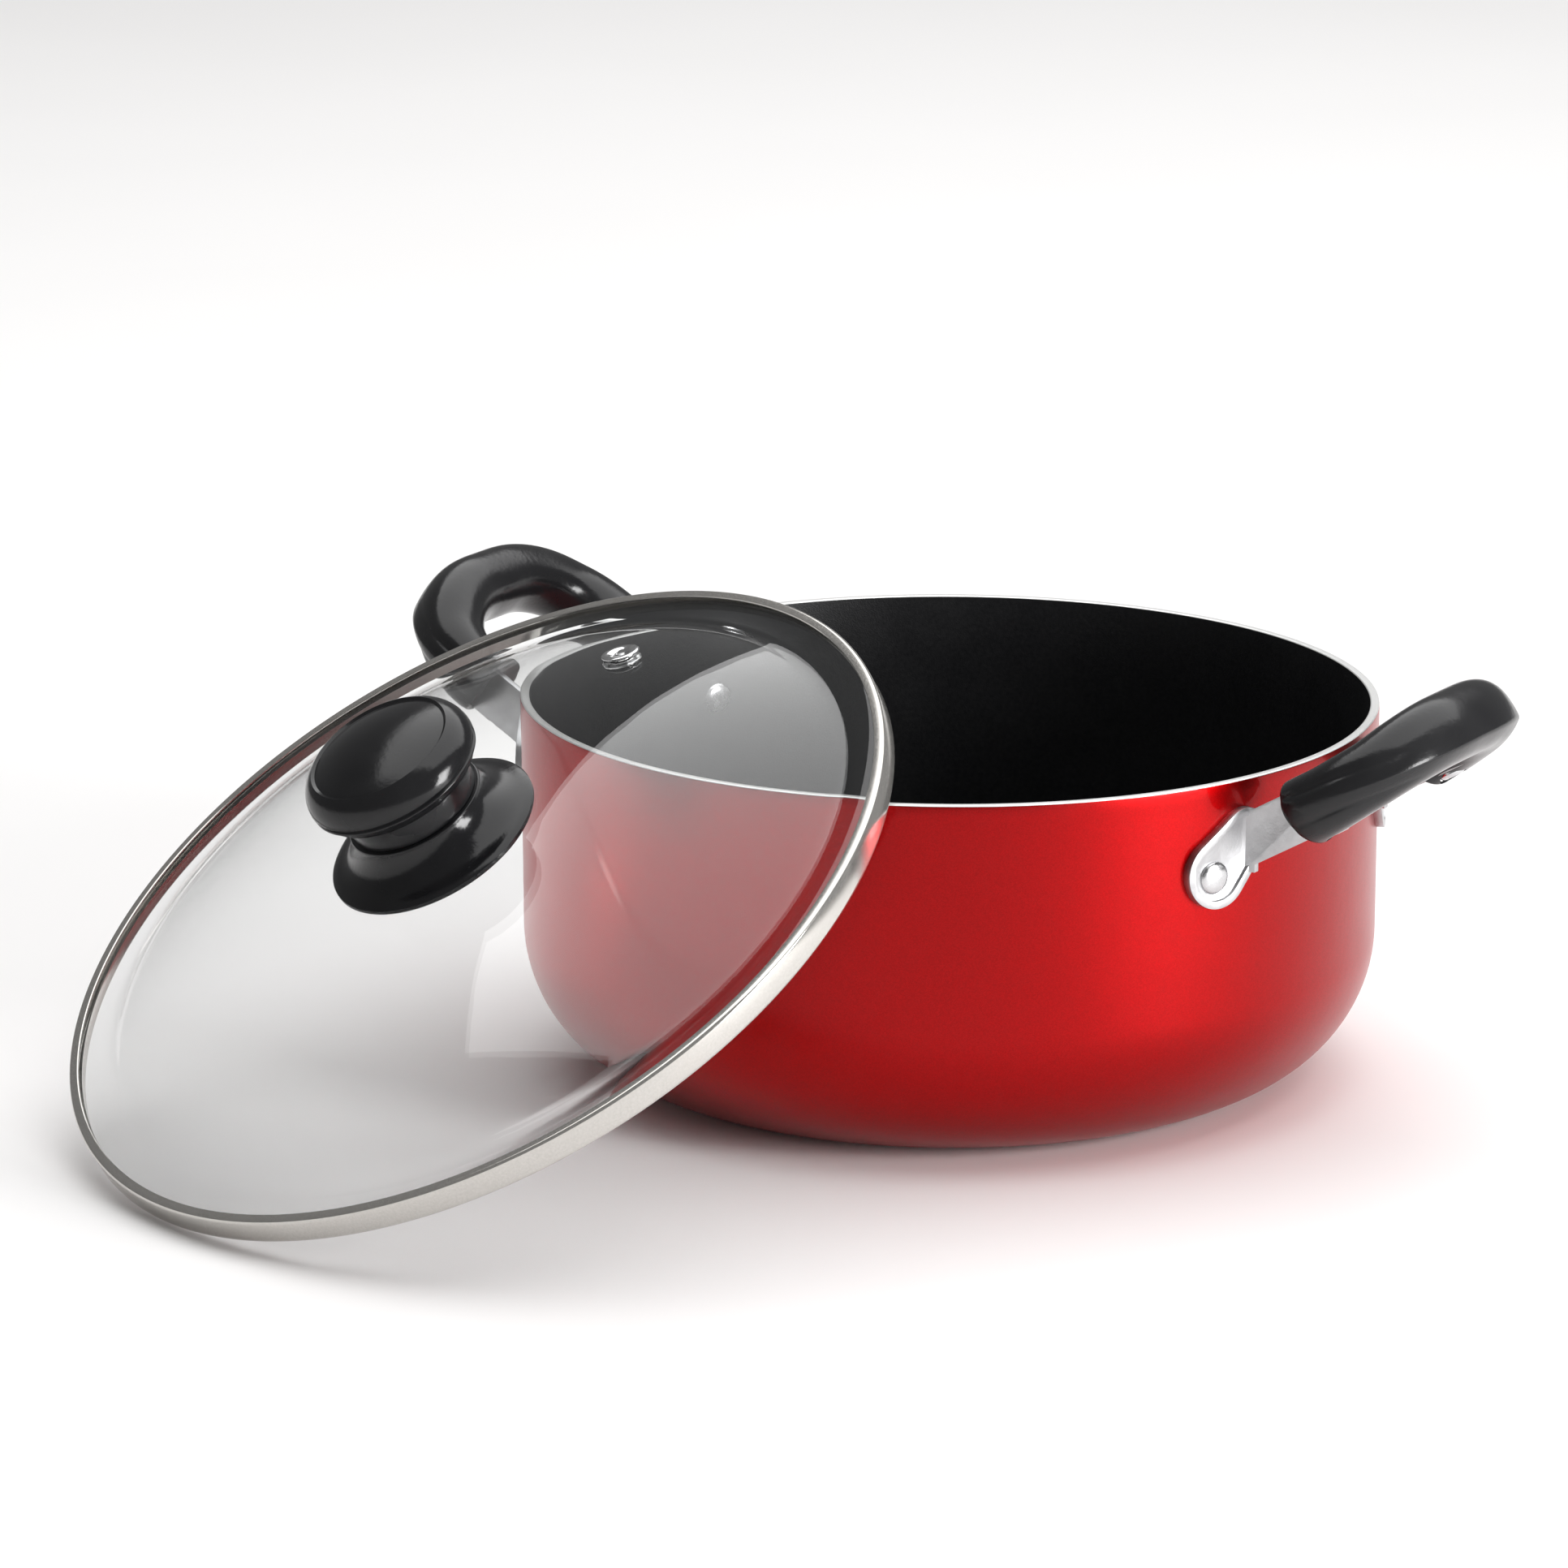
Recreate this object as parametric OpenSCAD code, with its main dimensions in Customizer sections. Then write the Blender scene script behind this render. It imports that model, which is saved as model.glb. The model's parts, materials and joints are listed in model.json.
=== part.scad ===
// Two-handled casserole pot with a glass lid.
// The pot stands on z = 0 with its centre on the Z axis and its handles along X.
// The lid leans on the pot: its lower edge stands on the ground at the front left.

/* [Pot] */
// Outer diameter of the pot at the rim
pot_d = 243; // [200:1:280]
// Height of the rim above the ground
pot_h = 107.5; // [100:0.5:120]
// Thickness of the pressed aluminium wall
wall_t = 2.6; // [2:0.1:3.5]
// Thickness of the base
base_t = 4; // [3:0.5:6]
// Outer radius where the wall turns into the base
corner_r = 42; // [30:1:55]

/* [Handles] */
// Distance from the pot's centre to the middle of the grip bar
grip_reach = 156.5; // [156:0.5:158]
// Height of the middle of the grip bar
grip_z = 119; // [118:0.5:120]
// Radius of the grip bar's side profile
grip_r = 11.5; // [11:0.5:12]
// Half width of the handle's loop
grip_half_w = 47; // [46:0.5:52]
// Width of each leg
leg_w = 20; // [18:0.5:22]
// Depth of each leg at its socket end
leg_depth = 20.5; // [18:0.5:22]
// Upward slope of the bracket straps and of the legs' sockets
rise = 30; // [28:1:32]

/* [Brackets] */
// Distance from the handle's centre line to the middle of each bracket's strap
strap_offset = 39; // [37:0.5:40]
// Thickness of the bracket plate
plate_t = 2.2; // [1.8:0.1:2.6]
// Height of the strap's upright web
web_h = 16; // [14:0.5:17]
// Width of the flange bent in under the web
flange_w = 9; // [7:0.5:10]
// Radius of the rivets' shanks
rivet_r = 2.5; // [2:0.1:3]
// Radius of the rivets' heads
rivet_head_r = 4.6; // [4:0.1:5.5]

/* [Lid] */
// Outer diameter of the steel band round the lid
lid_d = 249.5; // [246:0.5:254]
// Height of the steel band
band_h = 8; // [7:0.5:9]
// Thickness of the band's sheet
band_t = 0.6; // [0.5:0.1:0.8]
// Thickness of the glass
glass_t = 4; // [3.5:0.5:4]
// Height of the top of the glass above the band's lower edge
dome_h = 30.5; // [28:0.5:34]
// Distance of the steam vent from the middle of the lid
vent_offset = 88; // [70:1:95]

/* [Knob] */
// Diameter of the knob's head
head_d = 50; // [44:0.5:54]
// Diameter of the knob's base
knob_base_d = 61; // [56:0.5:64]
// Height of the knob's head above the glass
knob_h = 35.5; // [32:0.5:38]
// Radius of the knob screw's shank
screw_r = 2.5; // [2:0.1:3]

/* [Leaning lid] */
// How far the lid is tipped from level
lean_tilt = 32.6; // [32:0.1:33]
// Compass direction that the tipped lid faces
lean_way = -111.9; // [-112:0.1:-111]
// Distance of the lid's middle from the pot's axis
lid_reach = 156.3; // [156:0.1:158]
// Compass direction of the lid's middle
lid_way = -114.6; // [-114.7:0.1:-114.2]

/* [Hidden] */
$fn = 96;

pot_r = pot_d / 2;

// Handle: plan outline and finger hole
grip_corner_r = 33;
grip_edge_r = 11;
shoulder_turn = 48;
under_turn = 53;
waist = [142, 118];
hole_half_w = grip_half_w - leg_w;
hole_reach = grip_reach - 8.5;
hole_corner_r = 13;
leg_start = 120;
socket_reach = 131;
socket_z = 100;
loop_rise = atan2(grip_z - socket_z, grip_reach - socket_reach);
socket_inset = 3;
taper_end = 150;

// Bracket: where the strap leaves the wall, its foot and its rivet
web_out = strap_offset + plate_t / 2;
root_angle = asin(strap_offset / pot_r);
root_reach = pot_r * cos(root_angle);
web_root_z = 81.8;
web_end = 148;
flange_start = 119;
strap_root_in = 3;
strap_bend = 4;
foot_proud = 2.4;
foot_pocket = 1.1;
foot_border = 2.2;
foot_low = [-10.8, 83];
foot_high = [-1.5, 91.8];
foot_low_r = 9.9;
foot_high_r = 8.2;
rivet_spot = [-11.6, 81.8];
hole_reach_in = pot_r - 10;
hole_reach_out = pot_r + 10;
rivet_head_h = 1.3;
inner_head_h = 1;

// Handle screw, driven up through the leg into the strap's flange
handle_screw_reach = 141;
handle_screw_r = 2;
handle_screw_head_r = 4;
handle_screw_head_h = 2;
handle_screw_top = 10;
flange_bolt_inset = 5.2;

// Lid
lid_r = lid_d / 2;
flange_top = band_h - band_t;
flange_bottom = flange_top - glass_t;
bend_r = lid_r - 12.75;
dome_rise = dome_h - flange_top;
dome_r = (bend_r * bend_r + dome_rise * dome_rise) / (2 * dome_rise);
dome_z = dome_h - dome_r;
lip_w = 4.6;
hem_w = 4.8;
screw_hole_r = 4;

// Steam vent
vent_turn = 195;
vent_tilt = asin(vent_offset / dome_r);
vent_hole_r = 3.5;
vent_bore_r = 2.2;
vent_flange_r = 5.6;
vent_flange_t = 0.8;
vent_gap = 0.1;

// Knob, with heights from the top of the glass
gasket_t = 1.2;
gasket_r = 14;
skirt_drop = 1.3;
skirt_edge = 0.3;
sweep_r = 11;
shoulder_r = 9;
crown_drop = 2.4;
lip_z = 22.6;
lip_step = 0.8;
collar_z = 11;
collar_r = 19.8;
neck_r = 18.6;
neck_top = 18.5;
insert_r = 4.5;
insert_h = 14;
under_gap = 0.25;
washer_t = 1;
washer_r = 9;
screw_head_r = 5;
screw_head_h = 3;

// Places of the leaning lid
lid_centre = [
    lid_reach * cos(lid_way),
    lid_reach * sin(lid_way),
    lid_r * sin(lean_tilt) + 0.05,
];

// Moves a child from the lid's own frame to where the leaning lid is
module lean() {
    translate(lid_centre) rotate([0, 0, lean_way]) rotate([0, lean_tilt, 0]) children();
}

// Moves a child made for the right handle's back leg to any of the four legs
module at_leg(side, end) {
    mirror([side < 0 ? 1 : 0, 0, 0]) mirror([0, end < 0 ? 1 : 0, 0]) children();
}

// ---------- pot ----------

// Half section of a pot-shaped solid, flat below and round at the corner
module pot_outline(r, h, round_r) {
    translate([0, round_r]) square([r, h - round_r]);
    square([r - round_r, h]);
    translate([r - round_r, round_r]) circle(r = round_r);
}

// Radial bar on the line of one bracket's rivet, from in_r to out_r
module rivet_bar(r, in_r, out_r) {
    rotate([0, 0, root_angle - rivet_spot[0] / pot_r * 180 / PI])
        translate([in_r, 0, rivet_spot[1]]) rotate([0, 90, 0]) cylinder(r = r, h = out_r - in_r);
}

module pot_body() {
    color([0.72, 0.06, 0.07]) difference() {
        rotate_extrude() difference() {
            pot_outline(pot_r, pot_h, corner_r);
            translate([0, base_t]) pot_outline(pot_r - wall_t, pot_h, corner_r - wall_t);
        }
        for (side = [-1, 1], end = [-1, 1])
            at_leg(side, end) rivet_bar(rivet_r, hole_reach_in, hole_reach_out);
    }
}

// ---------- handles ----------

// Side view of a handle: a sloping leg, waisted above, that ends in a round grip bar
module handle_side() {
    slope_x = cos(rise);
    slope_y = sin(rise);
    translate([grip_reach, grip_z]) circle(r = grip_r);
    polygon([
        [grip_reach - grip_r * sin(shoulder_turn), grip_z + grip_r * cos(shoulder_turn)],
        waist,
        [socket_reach - leg_depth / 2 * slope_y, socket_z + leg_depth / 2 * slope_x],
        [socket_reach + leg_depth / 2 * slope_y, socket_z - leg_depth / 2 * slope_x],
        [grip_reach + grip_r * cos(under_turn), grip_z - grip_r * sin(under_turn)],
    ]);
}

// A rectangle from x = start to x = end with its two far corners rounded
module rounded_end(start, end, half_w, r) {
    translate([start, -half_w]) square([end - r - start, 2 * half_w]);
    translate([start, r - half_w]) square([end - start, 2 * (half_w - r)]);
    for (s = [-1, 1]) translate([end - r, s * (half_w - r)]) circle(r = r);
}

// Plan view of a handle: a loop round the finger hole, slimmer towards its sockets
module handle_plan() {
    difference() {
        rounded_end(leg_start, grip_reach + grip_r, grip_half_w, grip_corner_r);
        rounded_end(leg_start - 5, hole_reach, hole_half_w, hole_corner_r);
        for (s = [-1, 1]) polygon([
            [leg_start - 1, s * (grip_half_w - socket_inset)],
            [socket_reach - 3, s * (grip_half_w - socket_inset)],
            [taper_end, s * grip_half_w],
            [taper_end, s * (grip_half_w + 5)],
            [leg_start - 1, s * (grip_half_w + 5)],
        ]);
    }
}

// Section of a handle square to its slope, with all four outer edges rounded
module handle_section() {
    half_depth = grip_edge_r + 0.5;
    half_w = grip_half_w - grip_edge_r;
    square([2 * half_depth, 2 * half_w], center = true);
    square([2 * (half_depth - grip_edge_r), 2 * grip_half_w], center = true);
    for (x = [-1, 1], y = [-1, 1])
        translate([x * (half_depth - grip_edge_r), y * half_w]) circle(r = grip_edge_r);
}

module handle(side) {
    color([0.06, 0.06, 0.065]) difference() {
        mirror([side < 0 ? 1 : 0, 0, 0]) intersection() {
            translate([0, grip_half_w + 1, 0]) rotate([90, 0, 0])
                linear_extrude(2 * grip_half_w + 2) handle_side();
            translate([0, 0, web_root_z]) linear_extrude(60) handle_plan();
            translate([grip_reach, 0, grip_z]) rotate([0, 90 - loop_rise, 0])
                linear_extrude(120, center = true) handle_section();
        }
        for (end = [-1, 1]) at_leg(side, end) {
            strap();
            handle_screw_shape();
            counterbore();
        }
    }
}

// Frame of a handle screw: its Z axis runs square to the leg, its origin is under the flange
module at_handle_screw() {
    translate([
        handle_screw_reach,
        web_out - flange_bolt_inset,
        web_root_z + (handle_screw_reach - root_reach) * tan(rise),
    ]) rotate([0, -rise, 0]) children();
}

// Pan head screw that holds the strap's flange in the leg
module handle_screw_shape() {
    at_handle_screw() {
        translate([0, 0, -handle_screw_head_h]) cylinder(r = handle_screw_head_r, h = handle_screw_head_h);
        cylinder(r = handle_screw_r, h = handle_screw_top);
    }
}

// Well in the underside of the leg that the screw goes in by
module counterbore() {
    at_handle_screw() translate([0, 0, -20]) cylinder(r = handle_screw_head_r + 0.3, h = 20);
}

module handle_screw(side, end) {
    color([0.62, 0.63, 0.65]) at_leg(side, end) handle_screw_shape();
}

// ---------- brackets ----------

// Points along a round stretch between two angles
function arc_points(centre, r, from, to, steps) = [
    for (i = [0 : steps])
        let (a = from + (to - from) * i / steps) centre + r * [cos(a), sin(a)]
];

// Outline of the bracket's foot, slanted and wider at its lower end
module foot_outline(inset) {
    run = foot_high - foot_low;
    way = atan2(run[1], run[0]);
    lean_in = asin((foot_low_r - foot_high_r) / norm(run));
    polygon(concat(
        arc_points(foot_high, foot_high_r - inset, way - 90 + lean_in, way + 90 - lean_in, 24),
        arc_points(foot_low, foot_low_r - inset, way + 90 - lean_in, way + 270 + lean_in, 30)
    ));
}

// The foot's outline pushed out square to the wall at the strap's root
module foot_prism(inset) {
    rotate([0, 0, root_angle]) rotate([90, 0, 90]) translate([0, 0, pot_r - 30])
        linear_extrude(60) mirror([1, 0, 0]) foot_outline(inset);
}

// Upright web and bent-in flange that run from the foot up into the handle
module strap() {
    top = web_root_z + (web_end - root_reach) * tan(rise);
    flange_z = web_root_z + (flange_start - root_reach) * tan(rise);
    flange_lift = plate_t / cos(rise);
    flange_in = web_out - plate_t / 2;
    translate([0, web_out, 0]) rotate([90, 0, 0]) linear_extrude(plate_t) polygon([
        [root_reach - strap_root_in, web_root_z],
        [flange_start, web_root_z],
        [flange_start, flange_z],
        [web_end, top],
        [web_end, top + web_h],
        [root_reach - strap_root_in, web_root_z + web_h - strap_root_in * tan(rise)],
    ]);
    translate([0, flange_in, 0]) rotate([90, 0, 0]) linear_extrude(flange_w) polygon([
        [flange_start + strap_bend, flange_z + strap_bend * tan(rise)],
        [web_end, top],
        [web_end, top + flange_lift],
        [flange_start + strap_bend, flange_z + strap_bend * tan(rise) + flange_lift],
    ]);
}

module bracket(side, end) {
    color([0.80, 0.80, 0.81]) at_leg(side, end) difference() {
        union() {
            difference() {
                intersection() {
                    cylinder(r = pot_r + foot_proud, h = pot_h);
                    foot_prism(0);
                }
                difference() {
                    intersection() {
                        cylinder(r = pot_r + foot_proud + 5, h = pot_h);
                        foot_prism(foot_border);
                    }
                    cylinder(r = pot_r + foot_proud - foot_pocket, h = pot_h);
                }
            }
            strap();
        }
        translate([0, 0, -1]) cylinder(r = pot_r, h = pot_h + 2);
        rivet_bar(rivet_r, hole_reach_in, hole_reach_out);
        at_handle_screw() cylinder(r = handle_screw_r, h = handle_screw_top);
    }
}

// Rivet of one bracket, with a low round head outside and a flat one inside the pot
module rivet(side, end) {
    seat = pot_r + foot_proud - foot_pocket;
    inner = pot_r - wall_t;
    color([0.86, 0.86, 0.87]) at_leg(side, end) {
        rivet_bar(rivet_r, inner - inner_head_h, seat + rivet_head_h);
        difference() {
            rivet_bar(rivet_head_r, seat - 1, seat + rivet_head_h);
            cylinder(r = seat, h = pot_h);
        }
        intersection() {
            rivet_bar(rivet_head_r, inner - inner_head_h, inner + 1);
            cylinder(r = inner, h = pot_h);
        }
    }
}

// ---------- lid ----------

// Moves a child to the steam vent, with its Z axis square to the glass
module at_vent() {
    translate([0, 0, dome_z]) rotate([0, 0, vent_turn]) rotate([0, vent_tilt, 0])
        translate([0, 0, dome_r]) children();
}

module lid_glass() {
    color([0.85, 0.92, 0.93, 0.45]) lean() difference() {
        rotate_extrude() {
            intersection() {
                difference() {
                    translate([0, dome_z]) circle(r = dome_r, $fn = 360);
                    translate([0, dome_z]) circle(r = dome_r - glass_t, $fn = 360);
                }
                translate([0, flange_bottom]) square([bend_r, dome_h]);
            }
            translate([bend_r - 1, flange_bottom]) square([lid_r - band_t - bend_r + 1, glass_t]);
        }
        translate([0, 0, dome_h - 10]) cylinder(r = screw_hole_r, h = 20);
        at_vent() translate([0, 0, -10]) cylinder(r = vent_hole_r, h = 20);
    }
}

// Sheet steel band: a lip over the glass, an outer wall and a folded hem under the glass
module lid_band() {
    color([0.72, 0.70, 0.67]) lean() rotate_extrude() {
        translate([lid_r - band_t, 0]) square([band_t, band_h]);
        translate([lid_r - lip_w, flange_top]) square([lip_w, band_t]);
        translate([lid_r - hem_w, 0]) square([hem_w, band_t]);
        translate([lid_r - hem_w, 0]) square([band_t, flange_bottom]);
    }
}

// Rolled steel eyelet that lets the steam out
module steam_vent() {
    color([0.78, 0.79, 0.80]) lean() at_vent() rotate_extrude() {
        translate([vent_bore_r, -glass_t - vent_gap])
            square([vent_hole_r - vent_bore_r, glass_t + vent_gap + vent_flange_t]);
        translate([vent_bore_r, 0]) square([vent_flange_r - vent_bore_r, vent_flange_t]);
        translate([vent_bore_r, -glass_t - vent_gap - vent_flange_t])
            square([vent_flange_r - vent_bore_r, vent_flange_t]);
    }
}

// ---------- knob ----------

// Moves a child to the top of the glass, on the knob's axis
module at_knob() {
    lean() translate([0, 0, dome_h]) children();
}

// Flared base that keeps the knob off the hot glass
module knob_base() {
    base_r = knob_base_d / 2;
    color([0.07, 0.07, 0.075]) at_knob() rotate_extrude() polygon(concat(
        [
            [screw_r, gasket_t],
            [gasket_r + 1, gasket_t],
            [base_r - 1, -skirt_drop],
            [base_r, skirt_edge - skirt_drop],
            [base_r, skirt_edge],
        ],
        arc_points([base_r + 0.2, sweep_r + 0.8], sweep_r, 265, 190, 10),
        [
            [collar_r, collar_z],
            [screw_r, collar_z],
        ]
    ));
}

// Head and neck of the knob, in one moulding
module knob_head() {
    head_r = head_d / 2;
    color([0.06, 0.06, 0.065]) at_knob() difference() {
        rotate_extrude() polygon(concat(
            [
                [0, collar_z],
                [neck_r, collar_z],
                [neck_r, neck_top],
                [head_r - 2 * lip_step, lip_z - 1.5 * lip_step],
                [head_r - lip_step / 2, lip_z],
                [head_r - lip_step, lip_z + lip_step],
                [head_r, lip_z + 2 * lip_step],
            ],
            arc_points([head_r - shoulder_r, knob_h - shoulder_r - crown_drop], shoulder_r, 0, 76, 8),
            [
                [shoulder_r, knob_h - lip_step / 2],
                [0, knob_h],
            ]
        ));
        translate([0, 0, collar_z - 1]) cylinder(r = insert_r, h = insert_h + 1);
    }
}

// Threaded brass insert moulded into the neck
module knob_insert() {
    color([0.80, 0.66, 0.36]) at_knob() translate([0, 0, collar_z]) difference() {
        cylinder(r = insert_r, h = insert_h);
        translate([0, 0, -1]) cylinder(r = screw_r, h = insert_h + 2);
    }
}

// Silicone washer between the glass and the knob's base
module knob_gasket() {
    color([0.75, 0.75, 0.73]) at_knob() difference() {
        cylinder(r = gasket_r, h = gasket_t);
        translate([0, 0, -1]) cylinder(r = screw_hole_r, h = gasket_t + 2);
    }
}

// Silicone washer under the glass
module glass_gasket() {
    color([0.75, 0.75, 0.73]) at_knob() translate([0, 0, -glass_t - under_gap - gasket_t]) difference() {
        cylinder(r = washer_r + 1, h = gasket_t);
        translate([0, 0, -1]) cylinder(r = screw_r, h = gasket_t + 2);
    }
}

// Steel washer under the screw's head
module steel_washer() {
    color([0.70, 0.71, 0.73]) at_knob()
        translate([0, 0, -glass_t - under_gap - gasket_t - washer_t]) difference() {
            cylinder(r = washer_r, h = washer_t);
            translate([0, 0, -1]) cylinder(r = screw_r, h = washer_t + 2);
        }
}

// Pan head screw from under the glass into the insert
module knob_screw() {
    head_top = -glass_t - under_gap - gasket_t - washer_t;
    color([0.66, 0.67, 0.69]) at_knob() {
        translate([0, 0, head_top]) cylinder(r = screw_r, h = collar_z + insert_h - 2 - head_top);
        translate([0, 0, head_top - screw_head_h]) difference() {
            cylinder(r = screw_head_r, h = screw_head_h);
            for (turn = [0, 90]) rotate(turn) translate([-3, -0.5, -1]) cube([6, 1, 2.4]);
        }
    }
}

pot_body();
handle(1);  // handle_right
handle(-1);  // handle_left
bracket(1, -1);  // bracket_right_front
bracket(1, 1);  // bracket_right_back
bracket(-1, -1);  // bracket_left_front
bracket(-1, 1);  // bracket_left_back
rivet(1, -1);  // rivet_right_front
rivet(1, 1);  // rivet_right_back
rivet(-1, -1);  // rivet_left_front
rivet(-1, 1);  // rivet_left_back
handle_screw(1, -1);  // handle_screw_right_front
handle_screw(1, 1);  // handle_screw_right_back
handle_screw(-1, -1);  // handle_screw_left_front
handle_screw(-1, 1);  // handle_screw_left_back
lid_glass();
lid_band();
steam_vent();
knob_head();
knob_base();
knob_insert();
knob_gasket();
glass_gasket();
steel_washer();
knob_screw();
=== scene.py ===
import json
import math

import bmesh
import bpy
from mathutils import Matrix, Vector


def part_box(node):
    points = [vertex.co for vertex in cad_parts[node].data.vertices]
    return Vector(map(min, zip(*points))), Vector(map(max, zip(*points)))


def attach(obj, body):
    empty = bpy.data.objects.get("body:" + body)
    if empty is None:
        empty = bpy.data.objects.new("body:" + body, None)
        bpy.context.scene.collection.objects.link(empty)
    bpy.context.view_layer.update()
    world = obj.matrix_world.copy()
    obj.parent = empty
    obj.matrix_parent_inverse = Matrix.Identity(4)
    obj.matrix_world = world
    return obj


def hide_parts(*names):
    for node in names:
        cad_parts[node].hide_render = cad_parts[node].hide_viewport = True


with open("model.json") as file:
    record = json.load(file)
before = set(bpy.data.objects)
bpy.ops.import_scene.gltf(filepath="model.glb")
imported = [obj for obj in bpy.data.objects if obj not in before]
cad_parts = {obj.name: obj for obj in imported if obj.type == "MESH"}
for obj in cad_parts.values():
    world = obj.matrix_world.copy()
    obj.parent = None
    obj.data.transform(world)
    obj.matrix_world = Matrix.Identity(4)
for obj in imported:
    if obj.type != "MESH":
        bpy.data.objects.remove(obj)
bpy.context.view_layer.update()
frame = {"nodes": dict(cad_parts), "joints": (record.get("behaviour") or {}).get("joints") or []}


# ---------------------------------------------------------------- pot body
# One pressed aluminium shell, 243 mm across the rim. Outside it carries a metallic red coat under
# clear lacquer, inside a black non-stick coat; the rim's edge and the base's middle are turned bare.

POT_R = 121.5
POT_H = 107.5
WALL = 2.6
CORNER = 42.0
BASE = 4.0
RIM_ROUND = 0.5


def arc(x, z, r, start, end, count):
    """Points of a rounded stretch round (x, z), from one angle to another, in degrees."""
    turn = [math.radians(start + (end - start) * i / count) for i in range(count + 1)]
    return [(x + r * math.cos(t), z + r * math.sin(t)) for t in turn]


def turned(name, outline, steps=160, crease=35):
    """A piece spun on the Z axis from an outline of (radius, height) points in millimetres."""
    if bpy.context.object and bpy.context.object.mode == "EDIT":
        bpy.ops.object.mode_set(mode="OBJECT")
    bpy.ops.object.select_all(action="DESELECT")
    bpy.ops.mesh.primitive_plane_add(size=0.002)
    piece = bpy.context.object
    piece.name = piece.data.name = name
    bpy.ops.object.mode_set(mode="EDIT")
    bpy.ops.mesh.select_mode(type="VERT")
    bpy.ops.mesh.select_all(action="SELECT")
    bpy.ops.mesh.merge(type="CENTER")
    points = [Vector((r / 1000, 0, z / 1000)) for r, z in outline]
    bpy.ops.transform.translate(value=points[0])
    for a, b in zip(points, points[1:]):
        bpy.ops.mesh.extrude_region_move(TRANSFORM_OT_translate={"value": b - a})
    bpy.ops.mesh.select_all(action="SELECT")
    bpy.ops.mesh.spin(steps=steps, angle=2 * math.pi, center=(0, 0, 0), axis=(0, 0, 1))
    bpy.ops.mesh.select_all(action="SELECT")
    bpy.ops.mesh.remove_doubles(threshold=0.000004)
    bpy.ops.mesh.normals_make_consistent(inside=False)
    bpy.ops.object.mode_set(mode="OBJECT")
    bpy.ops.object.shade_smooth_by_angle(angle=math.radians(crease))
    return piece


def finish_material(name):
    """A new material with its node tree, and the shader that its sockets are set on."""
    material = bpy.data.materials.new(name)
    material.use_nodes = True
    return material, material.node_tree, material.node_tree.nodes["Principled BSDF"]


def node(tree, kind, **values):
    """Adds a node and sets its properties, or its inputs where the name is one of theirs."""
    made = tree.nodes.new(kind)
    for key, value in values.items():
        if key in made.inputs:
            made.inputs[key].default_value = value
        else:
            setattr(made, key, value)
    return made


def speckle(tree, scale, low, high, detail=2.0, place=None):
    """A noise on the piece's own coordinates, spread between two values."""
    place = place or node(tree, "ShaderNodeTexCoord").outputs["Object"]
    noise = node(tree, "ShaderNodeTexNoise", Scale=scale, Detail=detail)
    spread = node(tree, "ShaderNodeMapRange")
    spread.inputs["From Min"].default_value = 0.3
    spread.inputs["From Max"].default_value = 0.7
    spread.inputs["To Min"].default_value = low
    spread.inputs["To Max"].default_value = high
    tree.links.new(place, noise.inputs["Vector"])
    tree.links.new(noise.outputs["Fac"], spread.inputs["Value"])
    return spread.outputs["Result"]


def raise_surface(tree, shader, height, depth, strength=1.0):
    """Bump on the shader from a height between 0 and 1, depth metres deep."""
    bump = node(tree, "ShaderNodeBump", Distance=depth, Strength=strength)
    tree.links.new(height, bump.inputs["Height"])
    tree.links.new(bump.outputs["Normal"], shader.inputs["Normal"])
    return bump


def between(tree, factor, first, second):
    """A colour that runs from the first to the second."""
    mix = node(tree, "ShaderNodeMix", data_type="RGBA")
    mix.inputs["A"].default_value = (*first, 1)
    mix.inputs["B"].default_value = (*second, 1)
    tree.links.new(factor, mix.inputs["Factor"])
    return mix.outputs["Result"]


pot_outline = (
    [(0, 0), (40, 0)]
    + arc(POT_R - CORNER, CORNER, CORNER, -90, 0, 28)
    + [(POT_R, 62), (POT_R, 84), (POT_R, 104)]
    + arc(POT_R - RIM_ROUND, POT_H - RIM_ROUND, RIM_ROUND, 0, 90, 4)
    + arc(POT_R - WALL + RIM_ROUND, POT_H - RIM_ROUND, RIM_ROUND, 90, 180, 4)
    + [(POT_R - WALL, 84), (POT_R - WALL, 62)]
    + arc(POT_R - CORNER, BASE + CORNER - WALL, CORNER - WALL, 0, -90, 28)
    + [(40, BASE), (0, BASE)]
)
pot = turned("pot_shell", pot_outline, steps=240)

red_coat, tree, shader = finish_material("metallic_red_coat")
flakes = node(tree, "ShaderNodeTexVoronoi", Scale=4200.0)
tree.links.new(node(tree, "ShaderNodeTexCoord").outputs["Object"], flakes.inputs["Vector"])
flake_tone = node(tree, "ShaderNodeSeparateColor")
tree.links.new(flakes.outputs["Color"], flake_tone.inputs["Color"])
tree.links.new(
    between(tree, flake_tone.outputs["Red"], (0.30, 0.0005, 0.001), (0.42, 0.002, 0.003)),
    shader.inputs["Base Color"],
)
shader.inputs["Metallic"].default_value = 1.0
tree.links.new(speckle(tree, 30.0, 0.32, 0.37), shader.inputs["Roughness"])
shader.inputs["Coat Weight"].default_value = 0.25
shader.inputs["Coat Roughness"].default_value = 0.03
raise_surface(tree, shader, speckle(tree, 140.0, 0.0, 1.0), 0.00002)

non_stick, tree, shader = finish_material("black_non_stick_coat")
tree.links.new(
    between(tree, speckle(tree, 900.0, 0.0, 1.0), (0.007, 0.007, 0.008), (0.013, 0.013, 0.014)),
    shader.inputs["Base Color"],
)
tree.links.new(speckle(tree, 60.0, 0.34, 0.44), shader.inputs["Roughness"])
shader.inputs["Specular IOR Level"].default_value = 0.35
raise_surface(tree, shader, speckle(tree, 2400.0, 0.0, 1.0), 0.00002)

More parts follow.
